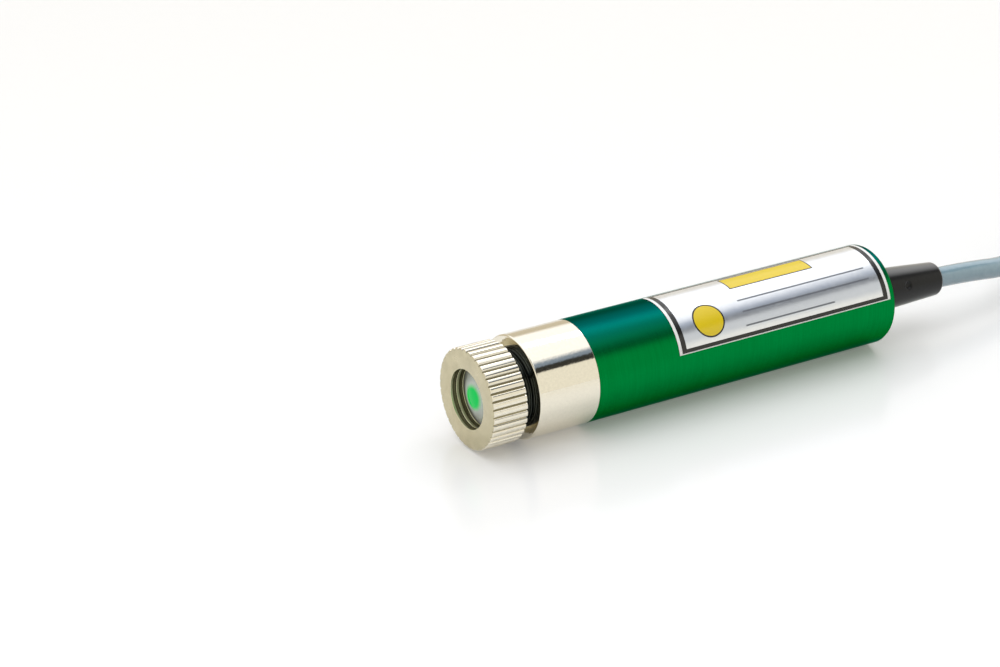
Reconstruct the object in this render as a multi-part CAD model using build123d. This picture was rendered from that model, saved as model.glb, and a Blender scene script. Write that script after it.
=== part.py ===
from build123d import *
from math import asin, cos, radians, sin, sqrt, tan
import os

# Focusable laser diode module in a round barrel, lying on its side. Millimetres, +Z up, the beam leaves
# along +X. A station is a distance behind the focus ring's front face, measured along the barrel's axis.

# Barrel
barrel_diameter = 16.0
tube_length = 55.8
tube_wall = 1.2
rear_wall = 2.5
tube_edge = 0.4
sleeve_length = 10.4
sleeve_edge = 0.25
spigot_length = 8.0
spigot_wall = 0.74

# Focus ring
ring_step = 0.2
ring_length = 5.7
ring_gap = 2.1
ring_edge = 0.15
ring_wall = 2.4
ring_lip = 1.4
flute_count = 40
flute_depth = 0.4
flute_width = 0.62

# Lens barrel and lens
barrel_length = 13.6
pocket_wall = 1.12
lens_edge = 1.4
lens_flange = 0.5
lens_bulge = 1.5
retainer_length = 0.8
retainer_wall = 0.7
lens_ledge = 0.9

# Focus spring
washer_thickness = 0.5
washer_wall = 1.9
spring_length = 5.0
spring_turns = 2
spring_wire_width = 0.8
spring_wire_height = 0.5

# Diode holder and laser diode
holder_reach = 1.5
beam_hole_diameter = 4.0
diode_base_diameter = 5.6
diode_base_length = 1.2
diode_cap_diameter = 3.55
diode_cap_length = 2.3
diode_retainer_length = 1.5
diode_retainer_wall = 0.9
pin_diameter = 0.45
pin_overlap = 2.5

# Driver board
board_setback = 2.5
board_thickness = 1.0
wiring_room = 8.1
insulator_wall = 0.3
insulator_room = 0.15
insulator_overhang = 1.5
chip_size = (4.9, 3.9, 1.5)
chip_lead = (0.4, 1.0, 0.25)
chip_lead_pitch = 1.27
trimmer_size = (3.0, 3.0, 1.4)
trimmer_rotor_diameter = 2.4
trimmer_rotor_height = 0.4
trimmer_slot = (1.8, 0.5, 0.25)
inductor_size = (3.0, 3.0, 1.9)
inductor_corner = 0.5
inductor_foot = (0.7, 1.8, 0.15)
capacitor_size = (3.5, 2.8, 1.9)
capacitor_edge = 0.3
resistor_size = (1.25, 2.0, 0.5)
resistor_pitch = 1.9
resistor_margin = 0.6

# Label
label_setback = 14.4
label_rear_gap = 1.1
label_low_edge_deg = 15.0
label_arc_deg = 92.0
label_thickness = 0.08

# Strain relief
boot_length = 14.4
boot_root_diameter = 7.2
boot_tip_diameter = 5.5
boot_tip_edge = 0.7
boot_neck_diameter = 5.8
boot_flange_diameter = 7.8
boot_flange_length = 1.2
dimple_diameter = 1.2
dimple_depth = 0.4
dimple_setback = 7.8
dimple_angle_deg = 68.0
boot_droop_deg = 2.7

# Cable
cable_diameter = 3.4
jacket_reach = 0.6
core_diameter = 1.0
core_spread = 1.4
core_on_board = 2.5
lead_start = 7.8
lead_route = [(112.6, -5.8, 5.6), (120.5, -5.8, 5.6)]
hank_length = 68.0
hank_layers = 3
lead_layer = 2
hank_fold_diameters = 2.75
lead_in_length = 10.0
tie_width = 4.0
tie_thickness = 0.5
tie_setback = 12.0
end_core_length = 13.8
end_core_room = 1.0
end_core_gap = 0.2
ferrule_collar_diameter = 1.35
ferrule_collar_length = 2.4
ferrule_pin_size = 0.7
ferrule_pin_length = 4.0

# Clearances: a turned fit on a radius, a press fit on a radius, and the solder under a pin or a core
fit = 0.03
press = 0.02
solder = 0.025

# Radii that follow
tube_radius = barrel_diameter / 2
bore_radius = tube_radius - tube_wall
spigot_radius = bore_radius - fit
sleeve_bore_radius = spigot_radius - spigot_wall
thread_radius = sleeve_bore_radius - fit
ring_radius = tube_radius - ring_step
aperture_radius = thread_radius - ring_lip
pocket_radius = thread_radius - pocket_wall
lens_radius = pocket_radius - fit
washer_radius = thread_radius - 2 * fit
cable_radius = cable_diameter / 2
core_radius = core_diameter / 2
axis_height = tube_radius

# Stations that follow, from front to back
ring_back = ring_length
sleeve_front = ring_back + ring_gap
tube_front = sleeve_front + sleeve_length
spigot_back = tube_front + spigot_length
tube_back = tube_front + tube_length
wall_front = tube_back - rear_wall
boot_back = tube_back + boot_length
barrel_front = ring_wall
barrel_back = barrel_front + barrel_length
lens_front = barrel_front
lens_back = lens_front + lens_edge
retainer_back = lens_back + retainer_length
washer_back = barrel_back + washer_thickness
spring_back = washer_back + spring_length
holder_back = spigot_back + holder_reach
diode_back = holder_back - diode_retainer_length
diode_seat = diode_back - diode_base_length
boot_front = wall_front - boot_flange_length
jacket_front = boot_front - jacket_reach
board_front = holder_back + board_setback
board_back = boot_front - wiring_room
board_length = board_back - board_front
insulator_back = board_back + insulator_overhang

# The pins straddle the board: two above it and one below, a third of a turn apart
pin_circle_radius = (board_thickness + 2 * solder + pin_diameter) / 1.5
board_middle = axis_height - pin_circle_radius / 4
board_top = board_middle + board_thickness / 2
board_bottom = board_top - board_thickness

# The insulating sleeve is a flat film tube round the board, its parts and the pins, as wide as will go in
parts_height = max(chip_size[2], trimmer_size[2] + trimmer_rotor_height, inductor_size[2], capacitor_size[2])
insulator_top = board_top + parts_height + insulator_room + insulator_wall
insulator_bottom = axis_height - pin_circle_radius - pin_diameter / 2 - insulator_room - insulator_wall
insulator_reach = max(insulator_top - axis_height, axis_height - insulator_bottom)
insulator_half_width = sqrt((bore_radius - fit) ** 2 - insulator_reach**2)
board_half_width = insulator_half_width - insulator_wall - fit

# The parts stand in a row on the board, evenly spaced between the diode's pins and the supply cores
row_sizes = {
    "chip": chip_size,
    "trimmer": trimmer_size,
    "inductor": inductor_size,
    "capacitor": capacitor_size,
}
row_length = sum(size[0] for size in row_sizes.values())
row_gap = (board_length - pin_overlap - core_on_board - row_length) / (len(row_sizes) + 1)
row_station = {}
row_front = board_front + pin_overlap
for part, size in row_sizes.items():
    row_station[part] = row_front + row_gap + size[0] / 2
    row_front += row_gap + size[0]

turning_axis = Axis((0, 0, axis_height), (1, 0, 0))
module_length = boot_back


def along(station):
    """X of a station."""
    return module_length / 2 - station


# The cable's weight tips the boot and the cable in it down a little, about the middle of the rear face
boot_root = Vector(along(tube_back), 0, axis_height)
boot_direction = Vector(-cos(radians(boot_droop_deg)), 0, -sin(radians(boot_droop_deg)))
boot_mouth = boot_root + boot_direction * boot_length
stripped_end = boot_root - boot_direction * (tube_back - jacket_front)
drooping_axis = Axis(boot_root, (0, 1, 0))


def turned(*profile):
    """Solid of revolution about the barrel's axis, from (station, radius) corners."""
    corners = [(along(station), 0, axis_height + radius) for station, radius in profile]
    return revolve(make_face(Polyline(*corners, close=True)), turning_axis)


def tube(front, back, outer, inner):
    """Plain turned ring between two stations."""
    return turned((front, inner), (front, outer), (back, outer), (back, inner))


def block(size, station, y, bottom):
    """Box with its length on X, standing on a height."""
    length, width, height = size
    return Pos(along(station), y, bottom + height / 2) * Box(length, width, height)


def bar(start, end, radius):
    """Straight round bar from one point to another."""
    run = end - start
    return extrude(Plane(origin=start, z_dir=run) * Circle(radius), amount=run.length)


def fluted_bar(front, back):
    """Bar with V flutes along its length, for the straight knurl."""
    clear = ring_radius + flute_depth
    floor = ring_radius - flute_depth
    half_spread = asin(flute_width / clear)
    corners = []
    for index in range(flute_count):
        turn = radians(360 / flute_count * index)
        for radius, angle in ((clear, turn - half_spread), (floor, turn), (clear, turn + half_spread)):
            corners.append((along(front), radius * cos(angle), axis_height + radius * sin(angle)))
    return extrude(make_face(Polyline(*corners, close=True)), amount=back - front, dir=(-1, 0, 0))


def focus_ring():
    seat = thread_radius + press
    blank = turned(
        (0, aperture_radius),
        (0, ring_radius - ring_edge),
        (ring_edge, ring_radius),
        (ring_back, ring_radius),
        (ring_back, seat),
        (ring_wall, seat),
        (ring_wall, aperture_radius),
    )
    return blank & fluted_bar(0, ring_back)


def lens_barrel():
    bore = pocket_radius - lens_ledge
    return turned(
        (barrel_front, pocket_radius),
        (barrel_front, thread_radius),
        (barrel_back, thread_radius),
        (barrel_back, bore),
        (retainer_back, bore),
        (retainer_back, pocket_radius),
    )


def lens_retainer():
    return tube(lens_back, retainer_back, lens_radius, lens_radius - retainer_wall)


def collimating_lens():
    clear_radius = lens_radius - lens_flange
    curve_radius = (clear_radius**2 + lens_bulge**2) / (2 * lens_bulge)
    lens_apex = lens_front - lens_bulge
    half_angle = asin(clear_radius / curve_radius) / 2
    halfway = (lens_apex + curve_radius * (1 - cos(half_angle)), curve_radius * sin(half_angle))
    curve = ThreePointArc(
        (along(lens_front), 0, axis_height + clear_radius),
        (along(halfway[0]), 0, axis_height + halfway[1]),
        (along(lens_apex), 0, axis_height),
    )
    outline = Polyline(
        (along(lens_apex), 0, axis_height),
        (along(lens_back), 0, axis_height),
        (along(lens_back), 0, axis_height + lens_radius),
        (along(lens_front), 0, axis_height + lens_radius),
        (along(lens_front), 0, axis_height + clear_radius),
    )
    return revolve(make_face([outline, curve]), turning_axis)


def spring_washer():
    return tube(barrel_back, washer_back, washer_radius, washer_radius - washer_wall)


def focus_spring():
    mean_radius = washer_radius - washer_wall / 2
    rise = spring_length - spring_wire_height
    start = Vector(along(spring_back) + spring_wire_height / 2, 0, axis_height)
    path = Helix(rise / spring_turns, rise, mean_radius, center=start, direction=(1, 0, 0))
    section = Plane(origin=path @ 0, x_dir=(1, 0, 0), z_dir=path % 0)
    return sweep(section * Rectangle(spring_wire_height, spring_wire_width), path=path, is_frenet=True)


def front_sleeve():
    return turned(
        (sleeve_front, sleeve_bore_radius),
        (sleeve_front, tube_radius - sleeve_edge),
        (sleeve_front + sleeve_edge, tube_radius),
        (tube_front, tube_radius),
        (tube_front, spigot_radius),
        (spigot_back, spigot_radius),
        (spigot_back, sleeve_bore_radius),
    )


def diode_holder():
    outer = sleeve_bore_radius - press
    pocket = diode_base_diameter / 2 + fit
    beam_hole = beam_hole_diameter / 2
    return turned(
        (spring_back, beam_hole),
        (spring_back, outer),
        (holder_back, outer),
        (holder_back, pocket),
        (diode_seat, pocket),
        (diode_seat, beam_hole),
    )


def laser_diode():
    cap_front = diode_seat - diode_cap_length
    can = turned(
        (cap_front, 0),
        (cap_front, diode_cap_diameter / 2),
        (diode_seat, diode_cap_diameter / 2),
        (diode_seat, diode_base_diameter / 2),
        (diode_back, diode_base_diameter / 2),
        (diode_back, 0),
    )
    pin_height = axis_height + pin_circle_radius
    pin_start = Vector(along(diode_back), 0, pin_height)
    pin_end = Vector(along(board_front + pin_overlap), 0, pin_height)
    pin = bar(pin_start, pin_end, pin_diameter / 2)
    for turn in (60, 180, 300):
        can = can + pin.rotate(turning_axis, turn)
    return can


def diode_retainer():
    outer = diode_base_diameter / 2
    return tube(diode_back, holder_back, outer, outer - diode_retainer_wall)


def driver_board():
    middle = (board_front + board_back) / 2
    size = (board_length, 2 * board_half_width, board_thickness)
    return block(size, middle, 0, board_bottom)


def driver_ic():
    length, width, height = chip_size
    lead_width, lead_reach, lead_thickness = chip_lead
    station = row_station["chip"]
    chip = block((length, width, height), station, 0, board_top)
    shank_height = height / 2
    for row in (-1.5, -0.5, 0.5, 1.5):
        for side in (-1, 1):
            place = station + row * chip_lead_pitch
            foot_y = side * (width + lead_reach) / 2
            shank_y = side * (width / 2 + lead_thickness / 2)
            chip = chip + block((lead_width, lead_reach, lead_thickness), place, foot_y, board_top)
            chip = chip + block((lead_width, lead_thickness, shank_height), place, shank_y, board_top)
    return chip


def trim_potentiometer():
    height = trimmer_size[2]
    station = row_station["trimmer"]
    body = block(trimmer_size, station, 0, board_top)
    rotor_top = board_top + height + trimmer_rotor_height
    rotor = Pos(along(station), 0, rotor_top) * Cylinder(
        trimmer_rotor_diameter / 2, trimmer_rotor_height, align=(Align.CENTER, Align.CENTER, Align.MAX)
    )
    return body + rotor - block(trimmer_slot, station, 0, rotor_top - trimmer_slot[2])


def storage_inductor():
    """Moulded block with cut corners, on two flat end terminals."""
    length, width, height = inductor_size
    foot_length, foot_width, foot_height = inductor_foot
    station = row_station["inductor"]
    body = block((length, width, height - foot_height), station, 0, board_top + foot_height)
    body = chamfer(body.edges().filter_by(Axis.Z), inductor_corner)
    for side in (-1, 1):
        place = station + side * (length - foot_length) / 2
        body = body + block(inductor_foot, place, 0, board_top)
    return body


def filter_capacitor():
    station = row_station["capacitor"]
    body = block(capacitor_size, station, 0, board_top)
    return chamfer(body.faces().sort_by(Axis.Z)[-1].edges(), capacitor_edge)


def chip_resistors():
    station = (row_station["trimmer"] + row_station["inductor"]) / 2
    row_y = resistor_margin + resistor_size[1] / 2 - board_half_width
    places = [station + offset * resistor_pitch for offset in (-1, 0, 1)]
    return [block(resistor_size, place, row_y, board_top) for place in places]


def insulating_sleeve():
    length = insulator_back - holder_back
    middle = holder_back + length / 2
    width = 2 * insulator_half_width
    height = insulator_top - insulator_bottom
    inner_width = width - 2 * insulator_wall
    inner_height = height - 2 * insulator_wall
    film = block((length, width, height), middle, 0, insulator_bottom)
    return film - block((length, inner_width, inner_height), middle, 0, insulator_bottom + insulator_wall)


def supply_core(side):
    """Insulated core, pulled straight from the cable's stripped end over the board's rear edge."""
    over_edge = Vector(along(board_back), 0, board_top + core_radius + 2 * solder)
    direction = (over_edge - stripped_end).normalized()
    sideways = Vector(0, side * core_spread / 2, 0)
    start = stripped_end + direction * solder + sideways
    return bar(start, over_edge + direction * core_on_board + sideways, core_radius)


def housing_tube():
    hole = boot_neck_diameter / 2 + press
    return turned(
        (tube_front, bore_radius),
        (tube_front, tube_radius),
        (tube_back - tube_edge, tube_radius),
        (tube_back, tube_radius - tube_edge),
        (tube_back, hole),
        (wall_front, hole),
        (wall_front, bore_radius),
    )


def type_label():
    front = tube_front + label_setback
    back = tube_back - label_rear_gap
    outer = tube_radius + label_thickness
    corners = [(front, tube_radius), (front, outer), (back, outer), (back, tube_radius)]
    strip = make_face(Polyline(*[(along(s), r, axis_height) for s, r in corners], close=True))
    foil = revolve(strip, turning_axis, label_arc_deg)
    return foil.rotate(turning_axis, label_low_edge_deg)


def strain_relief():
    root = boot_root_diameter / 2
    tip = boot_tip_diameter / 2
    neck = boot_neck_diameter / 2
    flange = boot_flange_diameter / 2
    tip_edge = min(boot_tip_edge, 0.8 * (tip - cable_radius))
    plug = turned(
        (boot_front, 0),
        (boot_front, flange),
        (wall_front, flange),
        (wall_front, neck),
        (tube_back, neck),
        (tube_back, 0),
    )
    boot = turned(
        (wall_front, 0),
        (wall_front, root),
        (tube_back, root),
        (boot_back - tip_edge, tip),
        (boot_back, tip - tip_edge),
        (boot_back, 0),
    )
    wall_radius = tip + (root - tip) * dimple_setback / boot_length
    dimple = Pos(along(boot_back - dimple_setback), 0, axis_height + wall_radius - dimple_depth) * Cylinder(
        dimple_diameter / 2, wall_radius, align=(Align.CENTER, Align.CENTER, Align.MIN)
    )
    boot = boot - dimple.rotate(turning_axis, -dimple_angle_deg)
    boot = boot.rotate(drooping_axis, -boot_droop_deg)
    room = 2 * boot_root_diameter
    behind_wall = Box(2 * boot_length, room, room, align=(Align.MAX, Align.CENTER, Align.CENTER))
    behind_wall = Pos(boot_root) * behind_wall
    past_end = boot_direction * cable_radius
    bore = bar(stripped_end - past_end, boot_mouth + past_end, cable_radius + press)
    return plug + (boot & behind_wall) - bore


def cable_entry():
    return bar(stripped_end, boot_mouth, cable_radius)


def cable_lead():
    """Free lead from the boot down to the hank, each arc as large as its two runs allow."""
    points = [boot_mouth, boot_mouth + boot_direction * lead_start]
    points += [Vector(along(station), y, z) for station, y, z in lead_route]
    radii = []
    for before, corner, after in zip(points, points[1:], points[2:]):
        arriving = corner - before
        leaving = after - corner
        half_turn = radians(arriving.get_angle(leaving)) / 2
        radii.append(0.45 * min(arriving.length, leaving.length) / tan(half_turn))
    print("cord radii mm:", [round(radius, 1) for radius in radii])
    path = FilletPolyline(*points, radius=radii)
    section = Plane(origin=path @ 0, z_dir=path % 0) * Circle(cable_radius)
    return sweep(section, path=path)


# The hank is a flat racetrack of two strands side by side, wound in layers. The lead joins the outer strand
# of its own layer, on the straight run nearer the barrel's axis, and the free end lies in the top layer of
# the other run.
fold_radius = hank_fold_diameters * cable_diameter
inner_edge = fold_radius - cable_radius
outer_strand = fold_radius + cable_diameter
outer_edge = outer_strand + cable_radius
lead_end_station, lead_end_y, lead_end_z = lead_route[-1]
fold_station = lead_end_station + lead_in_length
hank_straight = hank_length - 2 * outer_edge
hank_middle = fold_station + hank_straight / 2
hank_y = lead_end_y + outer_strand
hank_bottom = lead_end_z - (lead_layer - 0.5) * cable_diameter
hank_height = hank_layers * cable_diameter
hank_top = hank_bottom + hank_height
jacket_end = fold_station + hank_straight
free_end_length = end_core_length + ferrule_collar_length + ferrule_pin_length + end_core_room
free_end_y = hank_y + outer_strand
free_end_z = hank_top - cable_diameter + end_core_gap + ferrule_collar_diameter / 2


def racetrack(edge_radius):
    return SlotCenterToCenter(hank_straight, 2 * edge_radius)


def cable_hank():
    ring = extrude(racetrack(outer_edge) - racetrack(inner_edge), amount=hank_height)
    ring = Pos(along(hank_middle), hank_y, hank_bottom) * ring
    lead_end = Vector(along(lead_end_station), lead_end_y, lead_end_z)
    lead_in = bar(lead_end - Vector(lead_in_length, 0, 0), lead_end, cable_radius)
    free_end = Pos(along(jacket_end), free_end_y, hank_top) * Box(
        free_end_length, cable_diameter, 2 * cable_diameter, align=(Align.MIN, Align.CENTER, Align.CENTER)
    )
    return ring + lead_in - free_end


def hank_ties():
    """Two twist ties, one round each straight run, flat under the bundle."""
    width = outer_edge - inner_edge
    ties = []
    for side in (-1, 1):
        y = hank_y + side * (inner_edge + width / 2)
        middle = Pos(along(jacket_end - tie_setback), y, hank_bottom + hank_height / 2)
        band = Box(tie_width, width + 2 * tie_thickness, hank_height + 2 * tie_thickness)
        ties.append(middle * (band - Box(tie_width, width, hank_height)))
    return ties


def end_core(side):
    start = Vector(along(jacket_end), free_end_y + side * core_spread / 2, free_end_z)
    return bar(start, start + Vector(end_core_length, 0, 0), core_radius)


def wire_ferrules():
    """Crimped end sleeves: a round collar against the core's insulation, then a square crimped pin."""
    ferrules = []
    for side in (-1, 1):
        back = Vector(along(jacket_end) + end_core_length, free_end_y + side * core_spread / 2, free_end_z)
        front = back + Vector(ferrule_collar_length, 0, 0)
        collar = bar(back, front, ferrule_collar_diameter / 2)
        grow = (Align.MIN, Align.CENTER, Align.CENTER)
        pin = Box(ferrule_pin_length, ferrule_pin_size, ferrule_pin_size, align=grow)
        ferrules.append(collar + Pos(front) * pin)
    return ferrules


pieces = {
    "focus_ring": focus_ring(),
    "lens_barrel": lens_barrel(),
    "lens_retainer": lens_retainer(),
    "collimating_lens": collimating_lens(),
    "spring_washer": spring_washer(),
    "focus_spring": focus_spring(),
    "front_sleeve": front_sleeve(),
    "diode_holder": diode_holder(),
    "laser_diode": laser_diode(),
    "diode_retainer": diode_retainer(),
    "driver_board": driver_board(),
    "driver_ic": driver_ic(),
    "trim_potentiometer": trim_potentiometer(),
    "storage_inductor": storage_inductor(),
    "filter_capacitor": filter_capacitor(),
    "chip_resistors": chip_resistors(),
    "insulating_sleeve": insulating_sleeve(),
    "supply_core_red": supply_core(-1),
    "supply_core_black": supply_core(1),
    "housing_tube": housing_tube(),
    "type_label": type_label(),
    "strain_relief": strain_relief(),
    "cable_entry": cable_entry(),
    "cable_lead": cable_lead(),
    "cable_hank": cable_hank(),
    "hank_ties": hank_ties(),
    "end_core_red": end_core(-1),
    "end_core_black": end_core(1),
    "wire_ferrules": wire_ferrules(),
}

os.makedirs("parts", exist_ok=True)
for name, piece in pieces.items():
    solids = piece if isinstance(piece, list) else [piece]
    export_step(Compound(children=[Compound(solid.solids()) for solid in solids]), f"parts/{name}.step")
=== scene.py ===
import math

import bmesh
import bpy
from mathutils import Matrix, Vector


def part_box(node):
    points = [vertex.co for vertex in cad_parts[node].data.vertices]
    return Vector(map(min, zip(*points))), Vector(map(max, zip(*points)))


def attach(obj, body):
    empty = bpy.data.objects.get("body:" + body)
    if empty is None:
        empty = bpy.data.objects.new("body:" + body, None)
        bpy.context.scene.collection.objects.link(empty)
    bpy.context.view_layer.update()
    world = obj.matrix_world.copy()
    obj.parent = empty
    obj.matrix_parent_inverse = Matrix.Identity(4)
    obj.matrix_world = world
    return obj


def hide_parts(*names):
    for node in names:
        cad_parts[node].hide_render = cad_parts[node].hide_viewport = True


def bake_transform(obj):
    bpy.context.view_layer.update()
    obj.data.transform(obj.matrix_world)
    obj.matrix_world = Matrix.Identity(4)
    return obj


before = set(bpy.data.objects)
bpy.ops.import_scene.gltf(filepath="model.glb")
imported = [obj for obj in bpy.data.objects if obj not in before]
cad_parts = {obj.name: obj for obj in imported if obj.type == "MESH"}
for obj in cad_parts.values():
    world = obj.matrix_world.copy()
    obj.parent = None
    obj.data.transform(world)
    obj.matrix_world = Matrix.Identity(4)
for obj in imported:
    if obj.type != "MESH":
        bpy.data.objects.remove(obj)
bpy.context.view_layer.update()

# Laser diode and its holder
# A gold plated diode can sits in a turned brass holder, and a screwed brass ring holds it from behind.
# The holder is pressed into the front sleeve's spigot, which takes its heat.


def paint(red, green, blue):
    """Colour card values, 0 to 255, as the shader's linear colour."""
    tones = [value / 255 for value in (red, green, blue)]
    return [tone / 12.92 if tone < 0.04 else ((tone + 0.055) / 1.055) ** 2.4 for tone in tones] + [1]


def grain_on(tree, scale, stretch=(1, 1, 1), detail=5):
    """Noise in the piece's own coordinates, per metre, drawn out where the stretch is small."""
    place = tree.nodes.new("ShaderNodeTexCoord")
    mapping = tree.nodes.new("ShaderNodeMapping")
    mapping.inputs["Scale"].default_value = stretch
    grain = tree.nodes.new("ShaderNodeTexNoise")
    grain.inputs["Scale"].default_value = scale
    grain.inputs["Detail"].default_value = detail
    tree.links.new(place.outputs["Object"], mapping.inputs["Vector"])
    tree.links.new(mapping.outputs["Vector"], grain.inputs["Vector"])
    return grain.outputs["Fac"]


def toned(tree, factor, dark, light, low=0.35, high=0.65):
    """Colour between two tones, by a factor."""
    ramp = tree.nodes.new("ShaderNodeValToRGB")
    ramp.color_ramp.elements[0].position, ramp.color_ramp.elements[0].color = low, dark
    ramp.color_ramp.elements[1].position, ramp.color_ramp.elements[1].color = high, light
    tree.links.new(factor, ramp.inputs["Fac"])
    return ramp.outputs["Color"]


def ranged(tree, factor, low, high):
    """Number between two limits, by a factor."""
    spread = tree.nodes.new("ShaderNodeMapRange")
    spread.inputs["From Min"].default_value, spread.inputs["From Max"].default_value = 0.3, 0.7
    spread.inputs["To Min"].default_value, spread.inputs["To Max"].default_value = low, high
    tree.links.new(factor, spread.inputs["Value"])
    return spread.outputs["Result"]


def raised(tree, height, depth):
    """Normal of a surface that rises by a depth in metres with a height."""
    bump = tree.nodes.new("ShaderNodeBump")
    bump.inputs["Strength"].default_value = 1
    bump.inputs["Distance"].default_value = depth
    tree.links.new(height, bump.inputs["Height"])
    return bump.outputs["Normal"]


def finish(name, dark, light, metallic, roughness, scale, stretch=(1, 1, 1), depth=0.0, **sockets):
    """Material with one fine grain in its colour, its roughness and its height."""
    material = bpy.data.materials.new(name)
    material.use_nodes = True
    tree = material.node_tree
    shader = tree.nodes["Principled BSDF"]
    grain = grain_on(tree, scale, stretch)
    tree.links.new(toned(tree, grain, dark, light), shader.inputs["Base Color"])
    tree.links.new(ranged(tree, grain, *roughness), shader.inputs["Roughness"])
    if depth:
        tree.links.new(raised(tree, grain, depth), shader.inputs["Normal"])
    shader.inputs["Metallic"].default_value = metallic
    for socket, value in sockets.items():
        shader.inputs[socket.replace("_", " ")].default_value = value
    return material


def dress(material, *nodes):
    """Gives CAD nodes that keep their shape a finish."""
    for node in nodes:
        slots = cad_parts[node].data.materials
        slots.clear()
        slots.append(material)


turning_marks = (1, 0.03, 0.03)
brass = finish("turned_brass", paint(170, 132, 66), paint(204, 168, 96), 1, (0.25, 0.42), 9000,
               turning_marks, 4e-6)
gold = finish("gold_plate", paint(196, 152, 72), paint(226, 188, 108), 1, (0.16, 0.26), 2500)
dress(brass, "diode_holder", "diode_retainer")
dress(gold, "laser_diode")

# Driver board
# A glass-fibre board with a row of surface-mounted parts: the driver chip, a trimmer, an inductor,
# a capacitor and chip resistors. The diode's pins are soldered to its front end and the supply cores
# to its back end.

glass_weave = (1, 3, 1)
solder_mask = finish("solder_mask", paint(18, 84, 44), paint(30, 112, 62), 0, (0.25, 0.4), 1400,
                     glass_weave, 8e-6)
black_moulding = finish("black_moulding", paint(24, 24, 26), paint(40, 40, 43), 0, (0.5, 0.65), 6000,
                        depth=6e-6)
trimmer_blue = finish("trimmer_blue", paint(28, 70, 160), paint(40, 88, 184), 0, (0.35, 0.5), 5000,
                      depth=4e-6)
tantalum = finish("capacitor_yellow", paint(196, 150, 44), paint(216, 172, 62), 0, (0.4, 0.55), 5000,
                  depth=4e-6)
dress(solder_mask, "driver_board")
dress(black_moulding, "driver_ic", "storage_inductor", "chip_resistors")
dress(trimmer_blue, "trim_potentiometer")
dress(tantalum, "filter_capacitor")

# Insulating sleeve and supply cores
# A flat tube of amber film keeps the board off the metal. Two PVC covered cores, red and black, come out of
# the stripped cable and are soldered on top of the board.

amber_film = finish("amber_film", paint(186, 140, 62), paint(204, 160, 84), 0, (0.2, 0.32), 900, Alpha=0.9)
red_pvc = finish("red_pvc", paint(160, 22, 22), paint(184, 34, 32), 0, (0.38, 0.5), 3000, depth=5e-6)
black_pvc = finish("black_pvc", paint(18, 18, 19), paint(34, 34, 36), 0, (0.38, 0.5), 3000, depth=5e-6)
dress(amber_film, "insulating_sleeve")
dress(red_pvc, "supply_core_red")
dress(black_pvc, "supply_core_black")

# Housing tube
# Drawn aluminium tube, turned, with a closed rear wall and a rounded rear edge, dyed green in the anodising
# bath. The front sleeve's spigot is glued into its front end. Towards its top the green is washed to a
# darker teal by height, a painted reflection of bluish light from above.

same_place = 1e-7
sharp_angle = 0.5


def turned(shape, outline, steps=180, soft_edge=0.00008, closed=True):
    """Adds a round part to a shape: an outline of (x, radius) corners, spun about the barrel's axis."""
    earlier = set(shape.verts)
    corners = [shape.verts.new((x, 0, axis_height + radius)) for x, radius in outline]
    pairs = list(zip(corners, corners[1:] + corners[:1]))
    sides = [shape.edges.new(pair) for pair in (pairs if closed else pairs[:-1])]
    bmesh.ops.spin(shape, geom=corners + sides, cent=(0, 0, axis_height), axis=(1, 0, 0), angle=2 * math.pi,
                   steps=steps, use_merge=True)
    spun = [vert for vert in shape.verts if vert not in earlier]
    bmesh.ops.remove_doubles(shape, verts=spun, dist=same_place)
    bmesh.ops.recalc_face_normals(shape, faces=shape.faces[:])
    sharp = [edge for edge in shape.edges if edge.verts[0] not in earlier and edge.is_manifold
             and edge.calc_face_angle() > sharp_angle]
    bmesh.ops.bevel(shape, geom=sharp, offset=soft_edge, affect="EDGES", segments=3, profile=0.5,
                    material=-1)


def new_piece(name, shape, material, slot, body, *nodes):
    """Makes a shape a smooth piece that rides on a body, if one is named, and stands for its CAD nodes."""
    mesh = bpy.data.meshes.new(name)
    shape.to_mesh(mesh)
    shape.free()
    mesh.materials.append(material)
    for face in mesh.polygons:
        face.use_smooth = True
    piece = bpy.data.objects.new(name, mesh)
    bpy.context.scene.collection.objects.link(piece)
    piece.modifiers.new("even_shading", "WEIGHTED_NORMAL")
    if body:
        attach(piece, body)
    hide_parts(*nodes)
    return piece


def faded(tree, value, start, end, first=1.0, last=0.0):
    """Number that goes smoothly from first to last while a value goes from start to end."""
    fade = tree.nodes.new("ShaderNodeMapRange")
    fade.interpolation_type = "SMOOTHSTEP"
    for socket, number in (("From Min", start), ("From Max", end), ("To Min", first), ("To Max", last)):
        fade.inputs[socket].default_value = number
    tree.links.new(value, fade.inputs["Value"])
    return fade.outputs["Result"]


def washed(material, share, tone):
    """Turns a finish's own colour towards a tone, by a share."""
    tree = material.node_tree
    colour = tree.nodes["Principled BSDF"].inputs["Base Color"]
    wash = tree.nodes.new("ShaderNodeMix")
    wash.data_type = "RGBA"
    wash.inputs[7].default_value = tone
    tree.links.new(share, wash.inputs[0])
    tree.links.new(colour.links[0].from_socket, wash.inputs[6])
    tree.links.new(wash.outputs[2], colour)


tube_low, tube_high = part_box("housing_tube")
axis_height = (tube_low.z + tube_high.z) / 2
tube_radius = tube_high.z - axis_height
tube_wall = 0.0012
tube_bore = tube_radius - tube_wall
rear_wall = 0.0025
rear_hole = 0.00292
rear_rounding = 0.0005
rounding_middle = 0.3 * rear_rounding
reflection_start, reflection_end = axis_height + 0.0044, axis_height + 0.0080

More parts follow.
